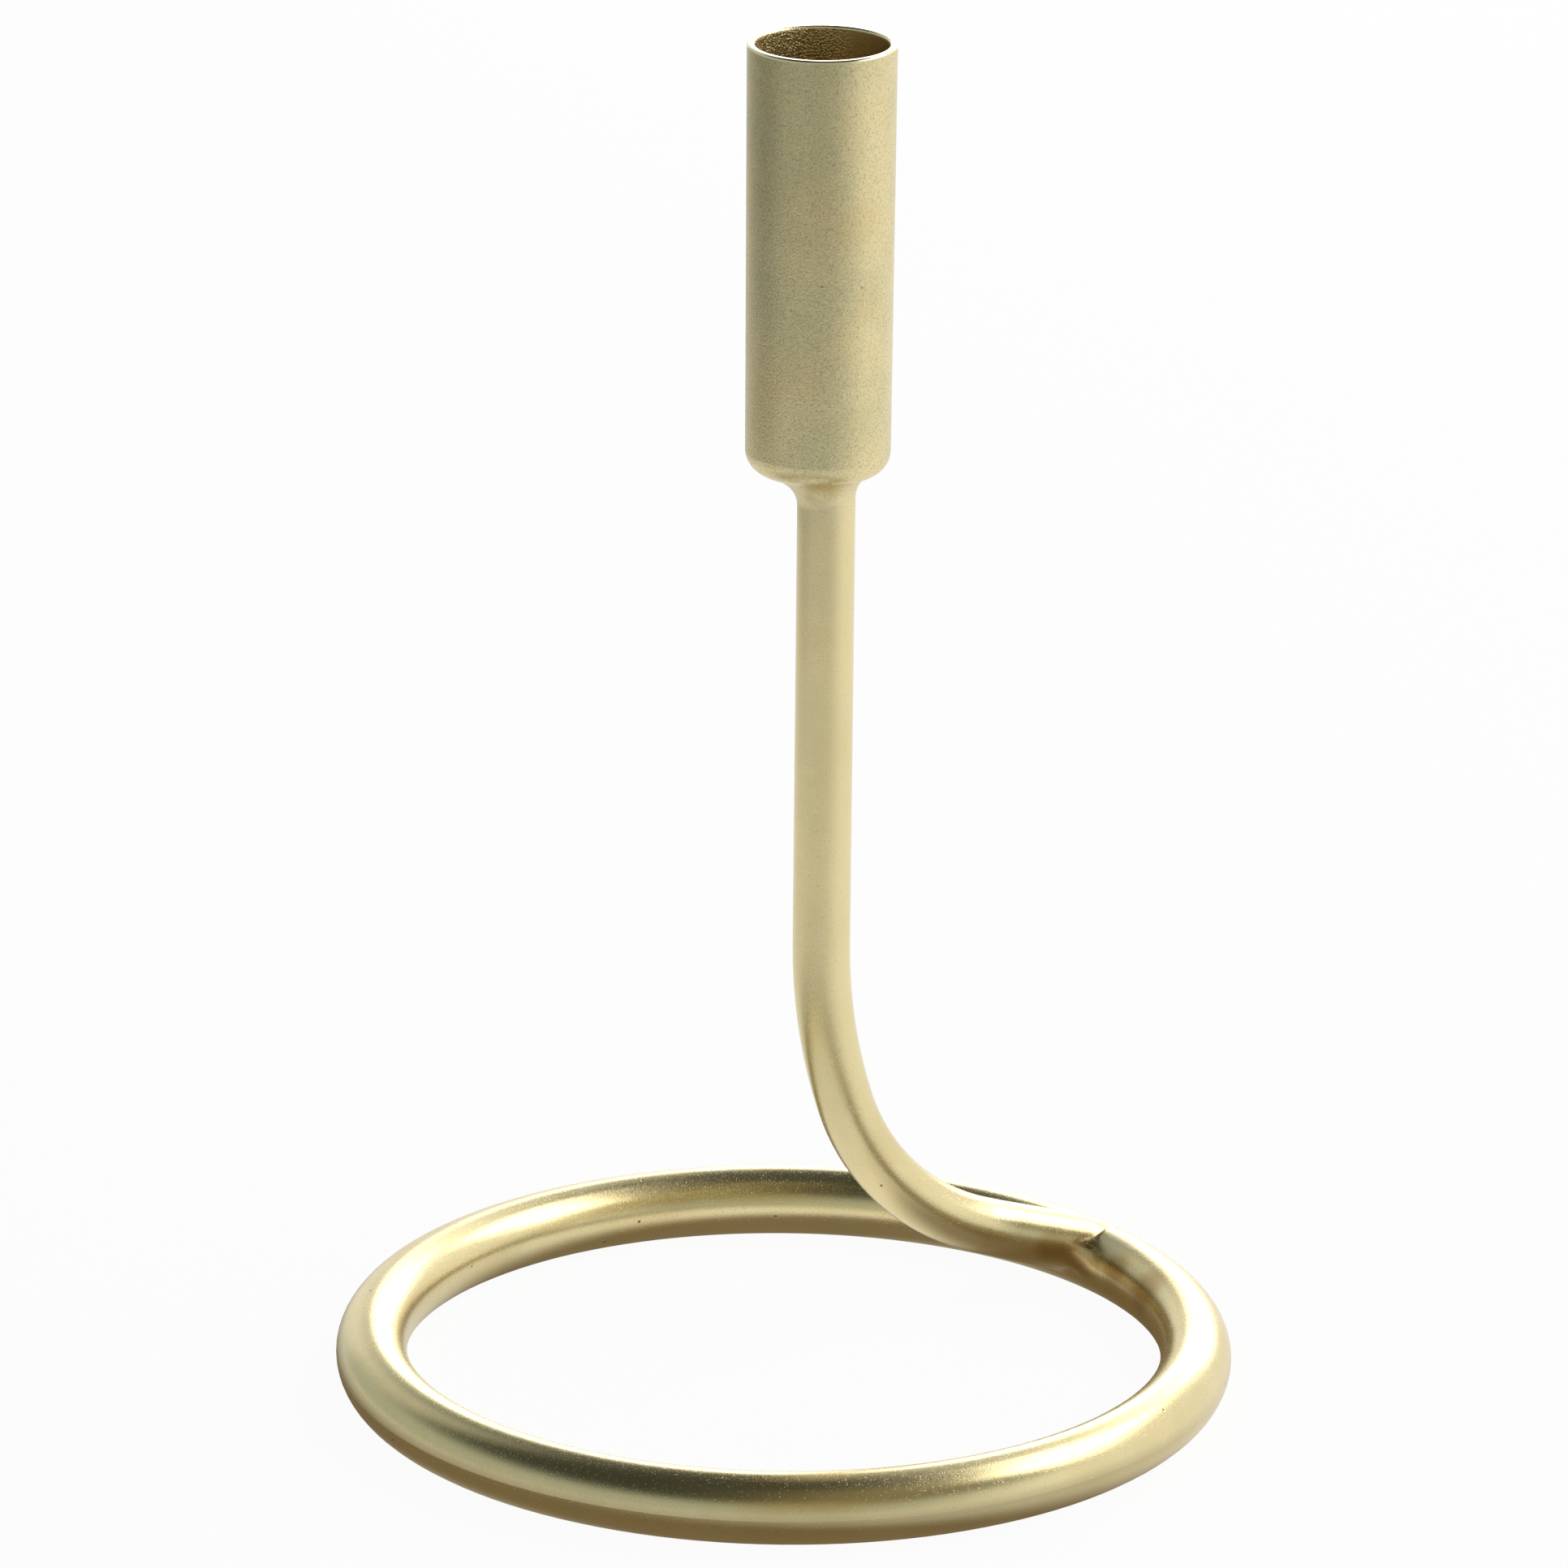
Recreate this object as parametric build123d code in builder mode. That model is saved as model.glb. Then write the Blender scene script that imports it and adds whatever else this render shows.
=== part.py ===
"""Spiral candle holder: a bent stem rising from a ring on the table to a slim candle cup.

Millimetres. The origin is the middle of the ring, on the table. +Z is up, and +X is to the
right of someone who faces the holder along +Y.
"""
from build123d import *

import os
from math import atan2, cos, degrees, radians, sin, sqrt, tan

# Base ring: round bar rolled into a closed circle
ring_diameter = 140.0  # across the middle of the bar
ring_bar = 12.0

# Stem: round bar, straight under the cup and swept outwards to the ring at its foot
stem_bar = 9.8
stem_x = 5.7
stem_y = 25.0
stem_height = 154.0  # underside of the cup above the table
arm_heading = 25.0  # degrees from +X towards +Y, seen from above
arm_slope = 20.0  # degrees, how steeply the foot runs down to the ring
arm_lift = 0.6  # axis of the foot over the ring's own axis, where they meet
sweep_radius = 93.0  # the gentle start of the bend
sweep_angle = 18.5  # degrees
elbow_radius = 42.5  # the tighter rest of the bend

# Candle cup: drawn from sheet, a little narrower at its foot, with a round bottom corner
cup_diameter = 25.0  # at the rim
cup_foot_diameter = 24.4
cup_bore = 22.4
cup_floor = 1.5
cup_height = 74.0
cup_corner = 4.0
cup_offset = 1.5  # the cup stands this far to the left of the stem's axis
rim_round = 0.4

# Weld metal under the cup and at the ring, ground to a smooth hollow curve
weld_edge = 0.1  # thickness at its thin end
cup_weld_depth = 6.5
ring_weld_radius = 10.0  # hollow curve from the stem's foot round to the ring
ring_weld_lean = 2.0  # further along the ring on the side towards the front
ring_weld_angles = (0, 30, 60, 90)  # degrees along that curve
weld_middle_share = 0.45  # how far along its depth the hollow curve is measured
weld_hollow_share = 0.28  # how much of its spread is left there

# Worked out from the sizes above
ring_radius = ring_diameter / 2
stem_radius = stem_bar / 2
cup_radius = cup_diameter / 2
cup_foot_radius = cup_foot_diameter / 2
bore_radius = cup_bore / 2
bore_corner = cup_corner - (cup_foot_radius - bore_radius)
cup_draft = degrees(atan2(cup_radius - cup_foot_radius, cup_height))
cup_x = stem_x - cup_offset
cup_top = stem_height + cup_height
heading_x = cos(radians(arm_heading))
heading_y = sin(radians(arm_heading))
along_heading = stem_x * heading_x + stem_y * heading_y
beside_heading = stem_x * heading_y - stem_y * heading_x
elbow_angle = 90 - sweep_angle - arm_slope

# Run of the stem's foot, level from the stem's axis to the ring's axis
foot_run = sqrt(ring_radius**2 - beside_heading**2) - along_heading
sweep_run = sweep_radius * (1 - cos(radians(sweep_angle)))
elbow_run = elbow_radius * (cos(radians(sweep_angle)) - sin(radians(arm_slope)))
arm_run = foot_run - sweep_run - elbow_run

# Heights, from the ring upwards
arm_end_height = ring_bar / 2 + arm_lift
elbow_height = arm_end_height + arm_run * tan(radians(arm_slope))
elbow_rise = elbow_radius * (cos(radians(arm_slope)) - sin(radians(sweep_angle)))
sweep_rise = sweep_radius * sin(radians(sweep_angle))
straight_foot = elbow_height + elbow_rise + sweep_rise

# Vertical plane of the bend: its x runs out from the stem's axis, its y runs up
bend_plane = Plane(
    origin=(stem_x, stem_y, 0),
    x_dir=(heading_x, heading_y, 0),
    z_dir=(heading_y, -heading_x, 0),
)

os.makedirs("parts", exist_ok=True)

# Ring
with BuildPart() as base_ring:
    with BuildSketch(Plane.XZ):
        with Locations((ring_radius, ring_bar / 2)):
            Circle(ring_bar / 2)
    revolve(axis=Axis.Z)

# Stem, coped to the ring at its foot
with BuildPart() as stem_rod:
    with BuildLine(bend_plane) as stem_path:
        straight = Line((0, stem_height), (0, straight_foot))
        sweep_arc = JernArc(straight @ 1, straight % 1, sweep_radius, sweep_angle)
        elbow_arc = JernArc(sweep_arc @ 1, sweep_arc % 1, elbow_radius, elbow_angle)
        arm = Line(elbow_arc @ 1, (foot_run, arm_end_height))
    with BuildSketch(Plane(origin=stem_path.line @ 0, z_dir=stem_path.line % 0)):
        Circle(stem_radius)
    sweep()
    add(base_ring.part, mode=Mode.SUBTRACT)

# Cup, with an open top
with BuildPart() as candle_cup:
    with BuildSketch(Plane((cup_x, stem_y, stem_height))):
        Circle(cup_foot_radius)
    extrude(amount=cup_height, taper=-cup_draft)
    fillet(candle_cup.faces().sort_by(Axis.Z)[0].edges(), cup_corner)
    with BuildSketch(Plane((cup_x, stem_y, cup_top))):
        Circle(bore_radius)
    extrude(amount=cup_floor - cup_height, mode=Mode.SUBTRACT)
    bore_end = candle_cup.faces().filter_by(GeomType.PLANE).sort_by(Axis.Z)[1]
    fillet(bore_end.edges(), bore_corner)
    fillet(candle_cup.faces().sort_by(Axis.Z)[-1].edges(), rim_round)

# Weld under the cup, wide on the cup's flat underside and thin on the stem
weld_thin = stem_radius + weld_edge
cup_flat = cup_foot_radius - cup_corner
cup_weld_levels = [
    (0, cup_flat, cup_offset),
    (
        cup_weld_depth * weld_middle_share,
        weld_thin + (cup_flat - weld_thin) * weld_hollow_share,
        cup_offset * weld_hollow_share,
    ),
    (cup_weld_depth, weld_thin, 0),
]
with BuildPart() as cup_weld:
    for drop, radius, shift in cup_weld_levels:
        with BuildSketch(Plane((stem_x - shift, stem_y, stem_height - drop))):
            Circle(radius)
    loft()
    add(stem_rod.part, mode=Mode.SUBTRACT)

# Weld at the ring, spread along the ring and thin up the stem's foot
arm_end = arm @ 1
arm_direction = arm % 1
ring_outwards = Vector(arm_end.X, arm_end.Y, 0).normalized()
ring_along = Vector(-ring_outwards.Y, ring_outwards.X, 0)
arm_across = Vector(-heading_y, heading_x, 0)
with BuildPart() as ring_weld:
    with BuildSketch(Plane(arm_end - ring_along * ring_weld_lean, ring_along, ring_outwards)):
        Ellipse(weld_thin + ring_weld_radius, weld_thin)
    for angle in ring_weld_angles:
        back = ring_bar / 2 + ring_weld_radius * (1 - cos(radians(angle)))
        spread_share = 1 - sin(radians(angle))
        across = ring_along * spread_share + arm_across * (1 - spread_share)
        facing = ring_outwards * spread_share + arm_direction * (1 - spread_share)
        middle = arm_end - arm_direction * back - across * ring_weld_lean * spread_share
        with BuildSketch(Plane(middle, across, facing)):
            Ellipse(weld_thin + ring_weld_radius * spread_share, weld_thin)
    loft()
    add(base_ring.part, mode=Mode.SUBTRACT)
    add(stem_rod.part, mode=Mode.SUBTRACT)

pieces = {
    "base_ring": base_ring,
    "stem_rod": stem_rod,
    "candle_cup": candle_cup,
    "cup_weld": cup_weld,
    "ring_weld": ring_weld,
}
for name, piece in pieces.items():
    piece.part.label = name
    export_step(piece.part, f"parts/{name}.step")
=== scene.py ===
"""Looks for the spiral candle holder: satin brass coat, white table, soft studio light."""
from math import cos, pi, radians, sin

import bpy
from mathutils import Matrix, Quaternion, Vector


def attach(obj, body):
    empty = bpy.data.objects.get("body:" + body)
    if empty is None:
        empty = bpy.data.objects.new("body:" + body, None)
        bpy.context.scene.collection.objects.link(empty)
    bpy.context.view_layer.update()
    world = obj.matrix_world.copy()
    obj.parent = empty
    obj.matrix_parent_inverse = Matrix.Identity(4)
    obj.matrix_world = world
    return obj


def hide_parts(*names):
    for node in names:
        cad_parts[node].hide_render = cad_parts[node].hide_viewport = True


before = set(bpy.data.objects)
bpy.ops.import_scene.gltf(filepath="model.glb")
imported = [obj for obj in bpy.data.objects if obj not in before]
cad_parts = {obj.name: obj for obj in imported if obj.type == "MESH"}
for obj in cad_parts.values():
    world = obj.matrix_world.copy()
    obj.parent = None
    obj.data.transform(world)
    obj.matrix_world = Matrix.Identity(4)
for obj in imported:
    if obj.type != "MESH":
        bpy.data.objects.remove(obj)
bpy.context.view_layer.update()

MM = 0.001

# The photograph's frame and where its camera stands
frame_px = 1932
sensor_mm = 36.0
focal_px = 12350.0
camera_distance = 1.706  # from the middle of the ring's bar circle
camera_elevation = 21.94  # degrees
camera_pitch = 18.722  # degrees below level
camera_yaw = -0.033
camera_roll = 0.57
ring_axis_height = 6.0 * MM

# Ring and stem, from the part's own sizes
ring_radius = 70.0 * MM
ring_bar_radius = 6.0 * MM
stem_radius = 4.9 * MM
stem_x = 5.7 * MM
stem_y = 25.0 * MM
arm_heading = radians(25.0)
arm_slope = radians(20.0)
arm_end_height = 6.6 * MM

# Cup, from the part's own sizes
cup_foot = 154.0 * MM
cup_flat = 8.2 * MM
cup_corner = 4.0 * MM
cup_x = 4.2 * MM
cup_y = 25.0 * MM
cup_top = 228.0 * MM
bore_radius = 11.2 * MM

# Ground welds
weld_turns = 120
weld_steps = 28
foot_steps = 44
weld_shares = [(1 - cos(pi * step / weld_steps)) / 2 for step in range(weld_steps + 1)]
foot_length = 22.0 * MM  # the stem's foot, which swings to the front and levels out a little
foot_swing = 3.9 * MM
foot_lift = 2.0 * MM
foot_taper = 0.4 * MM
foot_soft_share = 0.25  # the share of its length over which the swing begins
foot_taper_share = 0.85  # and the share after which its end is ground thinner
weld_width = 4.0 * MM  # the ground hollow at the sides
weld_width_sharp = 0.25 * MM  # and on top and below
weld_reach = 1.02  # the skin ends this many widths away from the foot
weld_nudge = 0.01 * MM  # step for measuring slopes
weld_settles = 5
foot_end_share = 0.3  # share of its length that stands for the way round its end
foot_points_most = 220
foot_step = 0.2 * MM
neck_pull = 0.55
neck_lift = radians(20.0)  # how far up the cup's round corner the weld ends
neck_depth_left = 6.0 * MM
neck_depth_right = 4.5 * MM

# Brass coat
brass = (0.80, 0.68, 0.375, 1)
brass_green = (0.67, 0.605, 0.345, 1)
brass_brown = (0.68, 0.52, 0.24, 1)
brass_bright = (0.92, 0.82, 0.55, 1)
# painted reflection and shade for the hollow at the stem's foot
hollow_painted_brown = (0.50, 0.31, 0.11, 1)
brass_grey = (0.62, 0.60, 0.50, 1)
pit_colour = (0.10, 0.08, 0.04, 1)
# painted shade for the valleys of the cup's sandy grain
sand_painted_shade = (0.38, 0.34, 0.18, 1)
inside_brown = (0.50, 0.38, 0.18, 1)
inside_gold = (0.95, 0.74, 0.34, 1)
grain_scale = 2600.0  # grains about 0.4 mm across
grain_depth = 0.035 * MM
mottle_scale = 85.0
cloud_scale = 260.0
warm_scale = 45.0
pit_scale = 170.0
bead_scale = 2500.0  # coarse golden grain inside the cup
coat_change = 142 * MM  # the coat turns sandy between this height and the cup's foot
neck_low, neck_high = 144 * MM, 150 * MM  # the rougher neck under the cup
joint_spot = (58.0 * MM, 36.6 * MM, 11.9 * MM)  # greyer mark on the ring, beside the foot
joint_spot_radius = 6.0 * MM
under_cup_painted_shade = (5.6 * MM, 16.4 * MM, 153.8 * MM)  # painted shade and brown reflection just under the cup
under_cup_painted_shade_radius = 2.6 * MM
bar_roughness = 0.28
cup_roughness = 0.34
weld_hollow_painted_reflection = [  # painted brown reflection and shade in the hollow where the stem's foot meets the ring
    (Vector((46.5, 36.5, 10.4)) * MM, 4.5 * MM),
    (Vector((51.5, 37.2, 9.0)) * MM, 5.5 * MM),
    (Vector((57.0, 30.6, 9.2)) * MM, 4.5 * MM),
    (Vector((62.0, 20.0, 9.4)) * MM, 6.0 * MM),
]
cup_stains = [  # places and sizes of the browner marks outside the cup
    (Vector((-5.7, 17.8, 164.0)) * MM, 5.0 * MM),
    (Vector((-5.7, 17.8, 169.5)) * MM, 5.0 * MM),
    (Vector((12.2, 15.5, 186.0)) * MM, 5.0 * MM),
    (Vector((10.5, 14.5, 200.0)) * MM, 6.0 * MM),
]

# Studio
paper_white = (0.90, 0.90, 0.89, 1)
white = (1, 1, 1, 1)
aim = Vector((0, 0, 0.08))
floor_bounce = (0.17, 0.12, 0.055, 1)  # the paper close to the ring, lit off the brass
floor_light = 0.82  # how bright the metal sees the paper near the holder
floor_fade = 0.66  # how much of that is gone far off
floor_fade_from, floor_fade_to = 0.25, 0.85
floor_left_loss = 0.14
floor_shade = 0.30  # soft shade on the left and front, outside the ring
shade_centre = (-0.035, -0.035, 0)
contact_shadow_centre = (-0.009, -0.006, 0)  # painted contact shadow: the dark line on the paper under the ring
contact_shadow_share = 0.9
joint_shade = (0.046, 0.022, 0)  # the paper inside the ring, beside the stem's foot
joint_shade_radius = 0.038
joint_shade_share = 0.85
room_wall = (0.49, 0.54, 0.53, 1)
room_right = (1.10, 1.12, 1.12, 1)
room_ceiling = (0.04, 0.045, 0.04, 1)
room_warm = (0.30, 0.26, 0.16, 1)
room_gold = (0.44, 0.37, 0.22, 1)
room_cool = (0.62, 0.64, 0.62, 1)
room_below = (0.12, 0.12, 0.10, 1)
room_patches = [  # azimuth, elevation, radius, plain core, share, colour
    (-55, 55, 0.62, 0.10, 0.8, room_warm),
    (-82, 27, 0.45, 0.20, 0.8, room_gold),
    (128, 35, 0.42, 0.20, 1.0, room_cool),
    (66, 40, 0.32, 0.25, 1.0, room_right),
]
softboxes = [  # name, azimuth, elevation, tilt, distance, width, height, radiance, colour
    ("key_softbox", 17, 45, 10, 0.9, 0.84, 0.46, 3.4, (1.0, 0.99, 0.97)),
    ("back_softbox", 76, 17, -15, 1.2, 0.80, 0.52, 2.4, (1.0, 1.0, 1.0)),
]


class Wire:
    """A socket's output, so that shader maths reads as Python expressions."""

    def __init__(self, sheet, socket):
        self.sheet, self.socket = sheet, socket

    def maths(self, operation, a, b):
        return self.sheet.add("ShaderNodeMath", {"operation": operation}, {0: a, 1: b})

    def __add__(self, other):
        return self.maths("ADD", self, other)

    def __radd__(self, other):
        return self.maths("ADD", other, self)

    def __sub__(self, other):
        return self.maths("SUBTRACT", self, other)

    def __rsub__(self, other):
        return self.maths("SUBTRACT", other, self)

    def __mul__(self, other):
        return self.maths("MULTIPLY", self, other)

    def __rmul__(self, other):
        return self.maths("MULTIPLY", other, self)

    def __truediv__(self, other):
        return self.maths("DIVIDE", self, other)

    def __pow__(self, other):
        return self.maths("POWER", self, other)

    def __abs__(self):
        return self.maths("ABSOLUTE", self, 0)


class Sheet:
    """A node tree that is being written."""

    def __init__(self, tree):
        self.tree = tree
        tree.nodes.clear()

    def add(self, kind, settings, sockets, output=0):
        """Adds a node: its settings first, then the values or links of its sockets."""
        node = self.tree.nodes.new(kind)
        for name, value in settings.items():
            setattr(node, name, value)
        for name, value in sockets.items():
            if isinstance(value, Wire):
                self.tree.links.new(value.socket, node.inputs[name])
            else:
                node.inputs[name].default_value = value
        return Wire(self, node.outputs[output]) if node.outputs else node

    def noise(self, place, scale, detail=2.0, roughness=0.5):
        return self.add(
            "ShaderNodeTexNoise", {"noise_dimensions": "3D"},
            {"Vector": place, "Scale": scale, "Detail": detail, "Roughness": roughness},
        )

    def smooth(self, value, low, high, start=0.0, end=1.0):
        return self.add(
            "ShaderNodeMapRange", {"interpolation_type": "SMOOTHSTEP"},
            {"Value": value, "From Min": low, "From Max": high, "To Min": start, "To Max": end},
        )

    def mix(self, share, first, second):
        return self.add(
            "ShaderNodeMix", {"data_type": "RGBA"}, {0: share, 6: first, 7: second}, 2
        )

    def place(self):
        return self.add("ShaderNodeTexCoord", {}, {}, "Object")

    def axes(self, vector):
        return [self.add("ShaderNodeSeparateXYZ", {}, {0: vector}, axis) for axis in range(3)]

    def away(self, place, centre):
        return self.add(
            "ShaderNodeVectorMath", {"operation": "DISTANCE"}, {0: place, 1: centre}, "Value"
        )

    def mark(self, place, centre, radius, core=0.3):
        """A soft round spot about a point on the holder."""
        return self.smooth(self.away(place, centre), radius, radius * core)

    def cells(self, place, scale):
        """Distance to the nearest of many scattered points, and a number for each point."""
        sockets = {"Vector": place, "Scale": scale}
        near = self.add("ShaderNodeTexVoronoi", {}, sockets, "Distance")
        tint = self.add("ShaderNodeTexVoronoi", {}, sockets, "Color")
        return near, self.add("ShaderNodeSeparateColor", {}, {0: tint}, 0)


def new_material(name):
    material = bpy.data.materials.new(name)
    material.use_nodes = True
    return material, Sheet(material.node_tree)


def close_material(sheet, colour, roughness, height, depth, metallic=1.0):
    """Joins colour, roughness and a bump of that depth into the surface."""
    bump = sheet.add(
        "ShaderNodeBump", {}, {"Strength": 1.0, "Distance": depth, "Height": height}
    )
    surface = sheet.add(
        "ShaderNodeBsdfPrincipled", {},
        {"Base Color": colour, "Roughness": roughness, "Metallic": metallic, "Normal": bump},
    )
    sheet.add("ShaderNodeOutputMaterial", {}, {"Surface": surface})


def brass_coat(sheet, place):
    """Colour, roughness and height of the brass coat: smooth on the bars, sandy on the cup, with
    painted glints and painted shade and highlight in the grain.
    """
    z = sheet.axes(place)[2]
    cup = sheet.smooth(z, coat_change, cup_foot)
    grain = sheet.noise(place, grain_scale, 2.0, 0.6)
    peel = sheet.noise(place, grain_scale * 0.27, 2.0, 0.5)
    mottle = sheet.noise(place, mottle_scale, 3.0, 0.55)
    cloud = sheet.noise(place, cloud_scale, 2.0, 0.5)
    warm = sheet.noise(place, warm_scale, 2.0, 0.5)
    sparkle = sheet.smooth(sheet.noise(place, grain_scale * 1.4, 0.0), 0.70, 0.82)
    pinhole = sheet.smooth(sheet.noise(place, grain_scale * 1.15, 1.0), 0.33, 0.20)
    near, number = sheet.cells(place, pit_scale)
    pit = sheet.smooth(near, 0.055, 0.025) * sheet.smooth(number, 0.55, 0.60)
    colour = sheet.mix(sheet.smooth(mottle, 0.35, 0.70) * (0.25 + cup * 0.55), brass, brass_green)
    colour = sheet.mix(sheet.smooth(warm, 0.50, 0.75) * 0.30, colour, brass_brown)
    colour = sheet.mix(sheet.smooth(cloud, 0.55, 0.75) * 0.12, colour, brass_bright)
    # painted glints: the sparkle flecks are also bumps, but here their colour is painted brighter
    colour = sheet.mix(sparkle * 0.4, colour, brass_bright)
    # painted shade in the sandy grain's valleys and painted highlight on its peaks, on the cup
    sand = sheet.noise(place, grain_scale * 1.1, 1.5, 0.6)
    colour = sheet.mix(sheet.smooth(sand, 0.50, 0.28) * cup * 0.55, colour, sand_painted_shade)
    colour = sheet.mix(sheet.smooth(sand, 0.52, 0.75) * cup * 0.55, colour, brass_bright)
    colour = sheet.mix(pinhole * (0.2 + cup * 0.25), colour, pit_colour)
    colour = sheet.mix(pit * 0.7, colour, pit_colour)
    roughness = bar_roughness + cup * (cup_roughness - bar_roughness)
    roughness = roughness + (grain - 0.5) * 0.10 + (mottle - 0.5) * 0.06 + pit * 0.3
    height = grain * (0.35 + cup * 1.0) + peel * (0.06 + cup * 0.1) + sparkle * (1 - cup) * 0.5
    height = height - pinhole * 0.3 - pit * 1.5
    return colour, roughness, height


def bar_material():
    """The ring, the stem and their ground welds."""
    material, sheet = new_material("brass_bar")
    place = sheet.place()
    colour, roughness, height = brass_coat(sheet, place)
    z = sheet.axes(place)[2]
    # painted brown reflection and shade in the weld hollow
    for centre, radius in weld_hollow_painted_reflection:
        colour = sheet.mix(sheet.mark(place, centre, radius) * 0.65, colour, hollow_painted_brown)
    joint = sheet.mark(place, joint_spot, joint_spot_radius)
    colour = sheet.mix(joint * 0.3, colour, brass_grey)
    # painted shade and brown reflection in the hollow under the cup
    under_cup_shade = sheet.mark(place, under_cup_painted_shade, under_cup_painted_shade_radius)
    colour = sheet.mix(under_cup_shade * 0.4, colour, brass_brown)
    neck = sheet.smooth(z, neck_low, neck_high)
    colour = sheet.mix(neck * 0.3, colour, brass_bright)
    roughness = roughness + neck * 0.14 + joint * 0.08
    close_material(sheet, colour, roughness, height, grain_depth)
    return material


def cup_material():
    """The cup: sandy outside, a bright turned rim, coarse golden grain inside with painted glints
    on the lit left side.
    """
    material, sheet = new_material("brass_cup")
    place = sheet.place()
    x, y, z = sheet.axes(place)
    colour, roughness, height = brass_coat(sheet, place)
    for centre, radius in cup_stains:
        colour = sheet.mix(sheet.mark(place, centre, radius) * 0.25, colour, brass_brown)
    across = ((x - cup_x) ** 2.0 + (y - cup_y) ** 2.0) ** 0.5
    inside = sheet.smooth(across, bore_radius + 0.35 * MM, bore_radius + 0.15 * MM)
    inside = inside * sheet.smooth(z, cup_foot + 5 * MM, cup_foot + 7 * MM)
    near, number = sheet.cells(place, bead_scale)
    bead_and_painted_glint = sheet.smooth(near, 0.75, 0.15) * (0.35 + number * 0.65)
    # real coarse grain, but kept to the left of the bore where the light falls: partly painted
    # glints
    bead_and_painted_glint = bead_and_painted_glint * sheet.smooth(x, cup_x + 5.5 * MM, cup_x + 2.0 * MM)
    colour = sheet.mix(inside, colour, sheet.mix(bead_and_painted_glint, inside_brown, inside_gold))
    height = height + inside * bead_and_painted_glint * 3.0
    roughness = roughness + inside * 0.12
    rim = sheet.smooth(z, cup_top - 0.5 * MM, cup_top - 0.3 * MM)
    colour = sheet.mix(rim * 0.9, colour, brass_bright)
    roughness = roughness - rim * 0.15
    height = height * (1 - rim * 0.8)
    close_material(sheet, colour, roughness, height, grain_depth)
    return material


def bezier(a, b, c, d, share):
    rest = 1 - share
    return a * rest**3 + b * (3 * rest**2 * share) + c * (3 * rest * share**2) + d * share**3


def skin(name, rows, material, node):
    """A closed sleeve of faces through rows of points, standing for a CAD node."""
    turns, steps = len(rows), len(rows[0])
    points = [point for row in rows for point in row]
    faces = []
    for i in range(turns):
        for j in range(steps - 1):
            k = (i + 1) % turns
            faces.append((i * steps + j, k * steps + j, k * steps + j + 1, i * steps + j + 1))
    mesh = bpy.data.meshes.new(name)
    mesh.from_pydata(points, [], faces)
    mesh.polygons.foreach_set("use_smooth", [True] * len(faces))
    mesh.materials.append(material)
    piece = bpy.data.objects.new(name, mesh)
    bpy.context.scene.collection.objects.link(piece)
    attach(piece, "root")
    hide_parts(node)


def over_ring(point):
    """How far a point is outside the ring's bar, and the way out of the bar there."""
    middle = Vector((point.x, point.y, 0)).normalized() * ring_radius
    middle.z = ring_axis_height
    out = point - middle
    return out.length - ring_bar_radius, out.normalized()


def ease(value, low, high):
    """From 0 at low to 1 at high, with soft ends."""
    share = min(max((value - low) / (high - low), 0), 1)
    return share * share * (3 - 2 * share)


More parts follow.
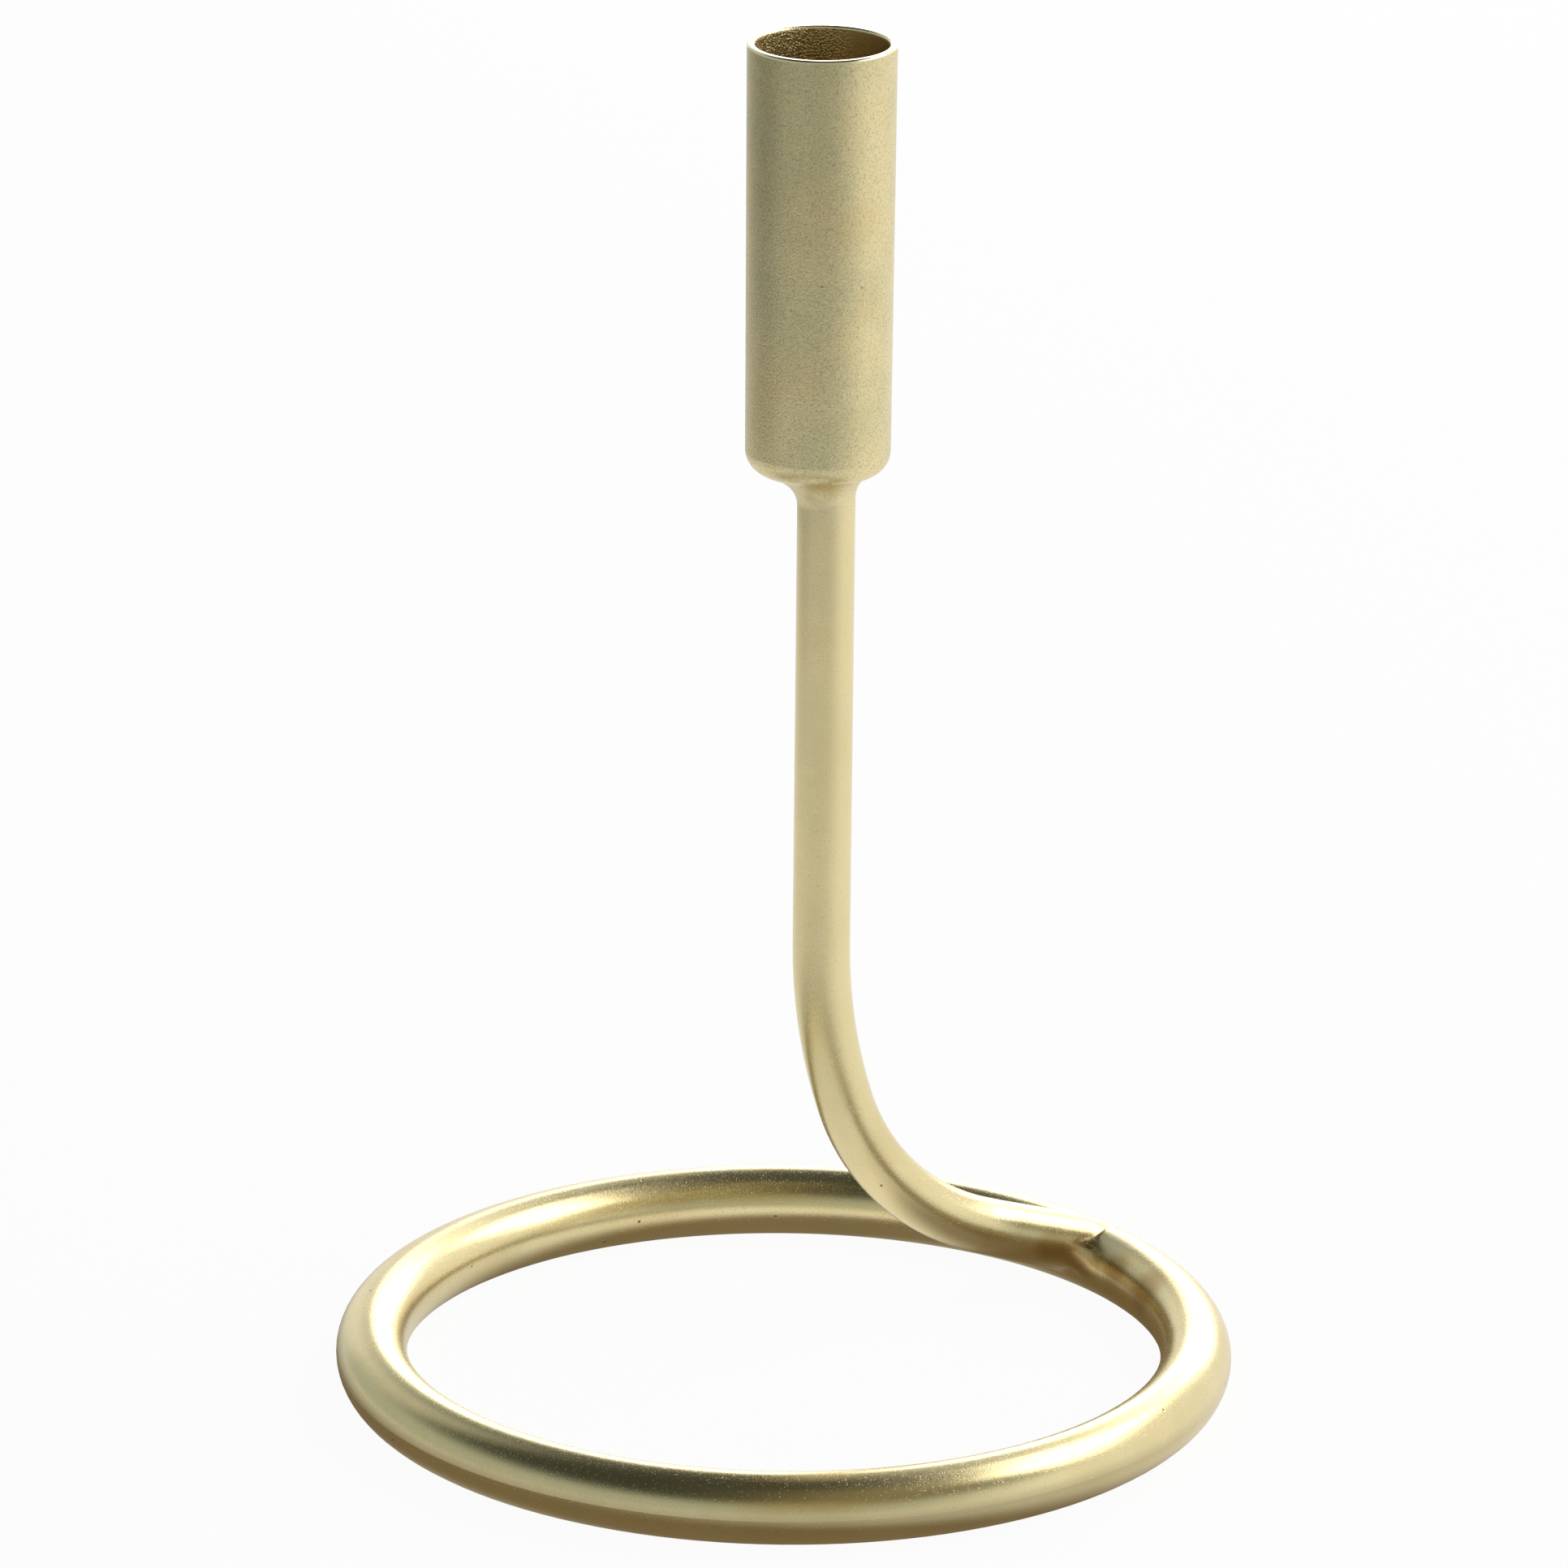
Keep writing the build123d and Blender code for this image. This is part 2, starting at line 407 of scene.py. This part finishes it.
class Foot:
    """The stem's foot, and the ground weld between it and the ring."""

    def __init__(self):
        ahead = Vector((cos(arm_heading), sin(arm_heading), 0))
        self.across = Vector((-ahead.y, ahead.x, 0))
        rise = Vector((0, 0, 1))
        self.down = ahead * cos(arm_slope) - rise * sin(arm_slope)
        self.up = self.down.cross(self.across)
        stem = Vector((stem_x, stem_y, 0))
        run = -stem.dot(ahead) + (ring_radius**2 - stem.dot(self.across) ** 2) ** 0.5
        self.top = stem + ahead * run + rise * arm_end_height - self.down * foot_length

    def shift(self, share):
        """How far the foot has swung and lifted off its straight line."""
        soft = foot_soft_share
        gone = share * share / (2 * soft) if share < soft else share - soft / 2
        return (self.up * foot_lift - self.across * foot_swing) * gone

    def radius(self, share):
        return stem_radius - foot_taper * ease(share, foot_taper_share, 1)

    def over_bar(self, point):
        """How far a point is outside the foot, and which way round the foot it is."""
        out = point - self.top
        share = min(max(out.dot(self.down) / foot_length, 0), 1)
        out = out - self.down * foot_length * share
        shift = self.shift(share)
        if shift.length > 0:
            out = out - shift * min(max(out.dot(shift) / shift.length_squared, 0), 1)
        return out.length - self.radius(share), out.normalized()

    def hollow(self, side):
        """How wide the ground hollow is on that side of the foot."""
        level = abs(side.dot(self.across)) - 0.9 * max(side.dot(self.up), 0)
        return weld_width_sharp + (weld_width - weld_width_sharp) * ease(level, 0.35, 0.9)

    def over_weld(self, point):
        """How far a point is outside the foot and the ring with the hollow between them."""
        bar, side = self.over_bar(point)
        ring = over_ring(point)[0]
        width = self.hollow(side)
        near = max(width - abs(bar - ring), 0) / width
        return min(bar, ring) - near * near * width / 4

    def settle(self, point):
        """Moves a point onto the ground weld."""
        for step in range(weld_settles):
            away = self.over_weld(point)
            slope = Vector([
                (self.over_weld(point + axis * weld_nudge) - away) / weld_nudge
                for axis in (Vector((1, 0, 0)), Vector((0, 1, 0)), Vector((0, 0, 1)))
            ])
            point = point - slope * away / max(slope.length_squared, 0.1)
        return point

    def path(self, angle):
        """Points down the foot's side, round its end where it shows, and out over the ring."""
        side = self.across * cos(angle) + self.up * sin(angle)
        points, travel, point = [], 0.0, None
        while travel < foot_length * (1 + foot_end_share):
            share = min(travel / foot_length, 1)
            shift = self.shift(share)
            lean = ease(side.dot(shift.normalized()), -0.2, 0.2)
            turn = max(travel / foot_length - 1, 0) / foot_end_share * pi / 2
            point = self.top + self.down * foot_length * share + shift * lean
            point += (side * cos(turn) + self.down * sin(turn)) * self.radius(share)
            if over_ring(point)[0] < 0:
                break
            points.append(point)
            travel += foot_step
        bar = self.over_bar(point)
        while bar[0] < self.hollow(bar[1]) * weld_reach and len(points) < foot_points_most:
            away, out = over_ring(point)
            along = (bar[1] - out * bar[1].dot(out)).normalized()
            point = point - out * away + along * foot_step
            point = point - over_ring(point)[1] * over_ring(point)[0]
            points.append(point)
            bar = self.over_bar(point)
        return points


def spaced(points, shares):
    """Points at those shares of the way along a path."""
    lengths = [0.0]
    for a, b in zip(points, points[1:]):
        lengths.append(lengths[-1] + (b - a).length)
    row, k = [], 0
    for share in shares:
        travel = share * lengths[-1]
        while k < len(points) - 2 and lengths[k + 1] < travel:
            k += 1
        along = (travel - lengths[k]) / (lengths[k + 1] - lengths[k])
        row.append(points[k].lerp(points[k + 1], along))
    return row


def ring_weld_skin(material):
    """The ground weld at the stem's foot: nearly sharp on top and below, hollow at the sides."""
    foot = Foot()
    shares = [step / foot_steps for step in range(foot_steps + 1)]
    rows = []
    for turn in range(weld_turns):
        row = spaced(foot.path(2 * pi * turn / weld_turns), shares)
        rows.append(row[:1] + [foot.settle(point) for point in row[1:]])
    skin("ring_weld_skin", rows, material, "ring_weld")


def cup_weld_skin(material):
    """The ground weld under the cup: deeper on the left, where the cup overhangs more."""
    rows = []
    for turn in range(weld_turns):
        angle = 2 * pi * turn / weld_turns
        side = Vector((cos(angle), sin(angle), 0))
        left = (1 - cos(angle)) / 2
        depth = neck_depth_right + (neck_depth_left - neck_depth_right) * left
        start = Vector((stem_x, stem_y, cup_foot - depth)) + side * stem_radius
        rise = Vector((0, 0, 1))
        out = side * cos(neck_lift) + rise * sin(neck_lift)
        finish = Vector((cup_x, cup_y, cup_foot + cup_corner * (1 - cos(neck_lift))))
        finish += side * (cup_flat + cup_corner * sin(neck_lift))
        spread = (finish - start).dot(side)
        rows.append([
            bezier(
                start, start + rise * depth * neck_pull,
                finish - out * spread * neck_pull, finish, share,
            )
            for share in weld_shares
        ])
    skin("cup_weld_skin", rows, material, "cup_weld")


def light_path(sheet, ray):
    return sheet.add("ShaderNodeLightPath", {}, {}, f"Is {ray} Ray")


def floor_material():
    """White paper. The metal sees it bright to the right, dimmer to the left and far off."""
    material, sheet = new_material("table_paper")
    place = sheet.place()
    x, y = sheet.axes(place)[:2]
    far = sheet.away(place, (0, 0, 0))
    pool = floor_light - sheet.smooth(far, floor_fade_from, floor_fade_to) * floor_fade
    lit_side = sheet.smooth((x * 0.77 + y * 0.64) / far, -0.6, 0.9)
    left = sheet.smooth(x * -1 / far, 0.90, 0.995) * sheet.smooth(far, 0.35, 0.55) * floor_left_loss
    shade = abs(sheet.away(place, shade_centre) - ring_radius)
    shade = sheet.smooth(shade, 0.075, 0.02) * sheet.smooth(far, 0.068, 0.085) * floor_shade
    level = pool + (1 - pool) * lit_side - left - shade
    # painted contact shadow on the paper under the ring and beside the stem's foot, as the metal
    # sees it
    painted_contact_shadow = abs(sheet.away(place, contact_shadow_centre) - ring_radius)
    painted_contact_shadow = sheet.smooth(painted_contact_shadow, 0.014, 0.004) * contact_shadow_share
    corner = sheet.mark(place, joint_shade, joint_shade_radius)
    painted_contact_shadow = painted_contact_shadow + (1 - painted_contact_shadow) * corner * joint_shade_share
    bare = light_path(sheet, "Camera") + light_path(sheet, "Transmission")
    glossy = light_path(sheet, "Glossy")
    paper = sheet.add("ShaderNodeBsdfDiffuse", {}, {"Color": paper_white})
    black = sheet.add("ShaderNodeEmission", {}, {"Color": white, "Strength": 0.0})
    glow = sheet.add("ShaderNodeEmission", {}, {"Color": white, "Strength": 1.0})
    bounce = sheet.add("ShaderNodeEmission", {}, {"Color": floor_bounce, "Strength": 1.0})
    seen = sheet.add("ShaderNodeMixShader", {}, {0: level, 1: black, 2: glow})
    seen = sheet.add("ShaderNodeMixShader", {}, {0: painted_contact_shadow, 1: seen, 2: bounce})
    both = sheet.add("ShaderNodeMixShader", {}, {0: bare * 0.95, 1: paper, 2: glow})
    both = sheet.add("ShaderNodeMixShader", {}, {0: glossy, 1: both, 2: seen})
    sheet.add("ShaderNodeOutputMaterial", {}, {"Surface": both})
    return material


def make_floor():
    mesh = bpy.data.meshes.new("table_paper")
    left, right, front, back = -1.1, 1.5, -1.0, 1.9
    mesh.from_pydata(
        [(left, front, 0), (right, front, 0), (right, back, 0), (left, back, 0)], [], [(0, 1, 2, 3)]
    )
    floor = bpy.data.objects.new("table_paper", mesh)
    bpy.context.scene.collection.objects.link(floor)
    mesh.materials.append(floor_material())


def towards(azimuth, elevation):
    """A direction. Azimuth runs from +X towards +Y."""
    a, e = radians(azimuth), radians(elevation)
    return Vector((cos(a) * cos(e), sin(a) * cos(e), sin(e)))


def make_room():
    """The room in the metal: pale walls, a dark ceiling, white paper behind and right."""
    world = bpy.data.worlds.new("studio")
    world.use_nodes = True
    bpy.context.scene.world = world
    sheet = Sheet(world.node_tree)
    way = sheet.add("ShaderNodeTexCoord", {}, {}, "Generated")

    right, back, up = sheet.axes(way)
    walls = sheet.mix(sheet.smooth(right * 0.94 + back * 0.34, 0.1, 0.95), room_wall, room_right)
    walls = sheet.mix(sheet.mark(way, towards(-55, 50), 0.70, 0.2), walls, room_warm)
    walls = sheet.mix(sheet.smooth(up, 0.30, 0.70), walls, room_ceiling)
    for azimuth, elevation, radius, core, share, colour in room_patches:
        patch = sheet.mark(way, towards(azimuth, elevation), radius, core) * share
        walls = sheet.mix(patch, walls, colour)
    walls = sheet.mix(sheet.smooth(up, -0.05, -0.3), walls, room_below)
    behind = sheet.smooth(back + right * 0.6, 0.40, 0.62) * sheet.smooth(up, 0.54, 0.32)
    share = light_path(sheet, "Camera") + light_path(sheet, "Transmission")
    share = share + light_path(sheet, "Glossy") * behind
    room = sheet.add("ShaderNodeBackground", {}, {"Color": walls, "Strength": 1.0})
    paper = sheet.add("ShaderNodeBackground", {}, {"Color": white, "Strength": 1.0})
    both = sheet.add("ShaderNodeMixShader", {}, {0: share, 1: room, 2: paper})
    sheet.add("ShaderNodeOutputWorld", {}, {"Surface": both})


def softbox(name, azimuth, elevation, tilt, distance, width, height, radiance, colour):
    """An oblong soft lamp that faces the holder."""
    lamp = bpy.data.lights.new(name, "AREA")
    lamp.shape = "RECTANGLE"
    lamp.size, lamp.size_y = width, height
    lamp.energy = radiance * pi * width * height
    lamp.color = colour
    out = towards(azimuth, elevation)
    holder = bpy.data.objects.new(name, lamp)
    holder.location = aim + out * distance
    holder.rotation_mode = "QUATERNION"
    holder.rotation_quaternion = out.to_track_quat("Z", "Y") @ Quaternion((0, 0, 1), radians(tilt))
    holder.visible_camera = False
    bpy.context.scene.collection.objects.link(holder)


def make_camera():
    lens = bpy.data.cameras.new("camera")
    lens.sensor_width = sensor_mm
    lens.lens = sensor_mm * focal_px / frame_px
    camera = bpy.data.objects.new("camera", lens)
    e = radians(camera_elevation)
    camera.location = (
        0, -camera_distance * cos(e), camera_distance * sin(e) + ring_axis_height
    )
    camera.rotation_mode = "QUATERNION"
    camera.rotation_quaternion = (
        Quaternion((0, 0, 1), radians(camera_yaw) * -1)
        @ Quaternion((1, 0, 0), radians(90 - camera_pitch))
        @ Quaternion((0, 0, 1), radians(camera_roll))
    )
    bpy.context.scene.collection.objects.link(camera)
    bpy.context.scene.camera = camera


def wear(node, material):
    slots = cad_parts[node].data.materials
    slots.clear()
    slots.append(material)


bpy.context.scene.view_settings.view_transform = "Standard"
make_camera()
make_room()
make_floor()
for box in softboxes:
    softbox(*box)

bar = bar_material()
for node in ("base_ring", "stem_rod"):
    wear(node, bar)
ring_weld_skin(bar)
cup_weld_skin(bar)
wear("candle_cup", cup_material())
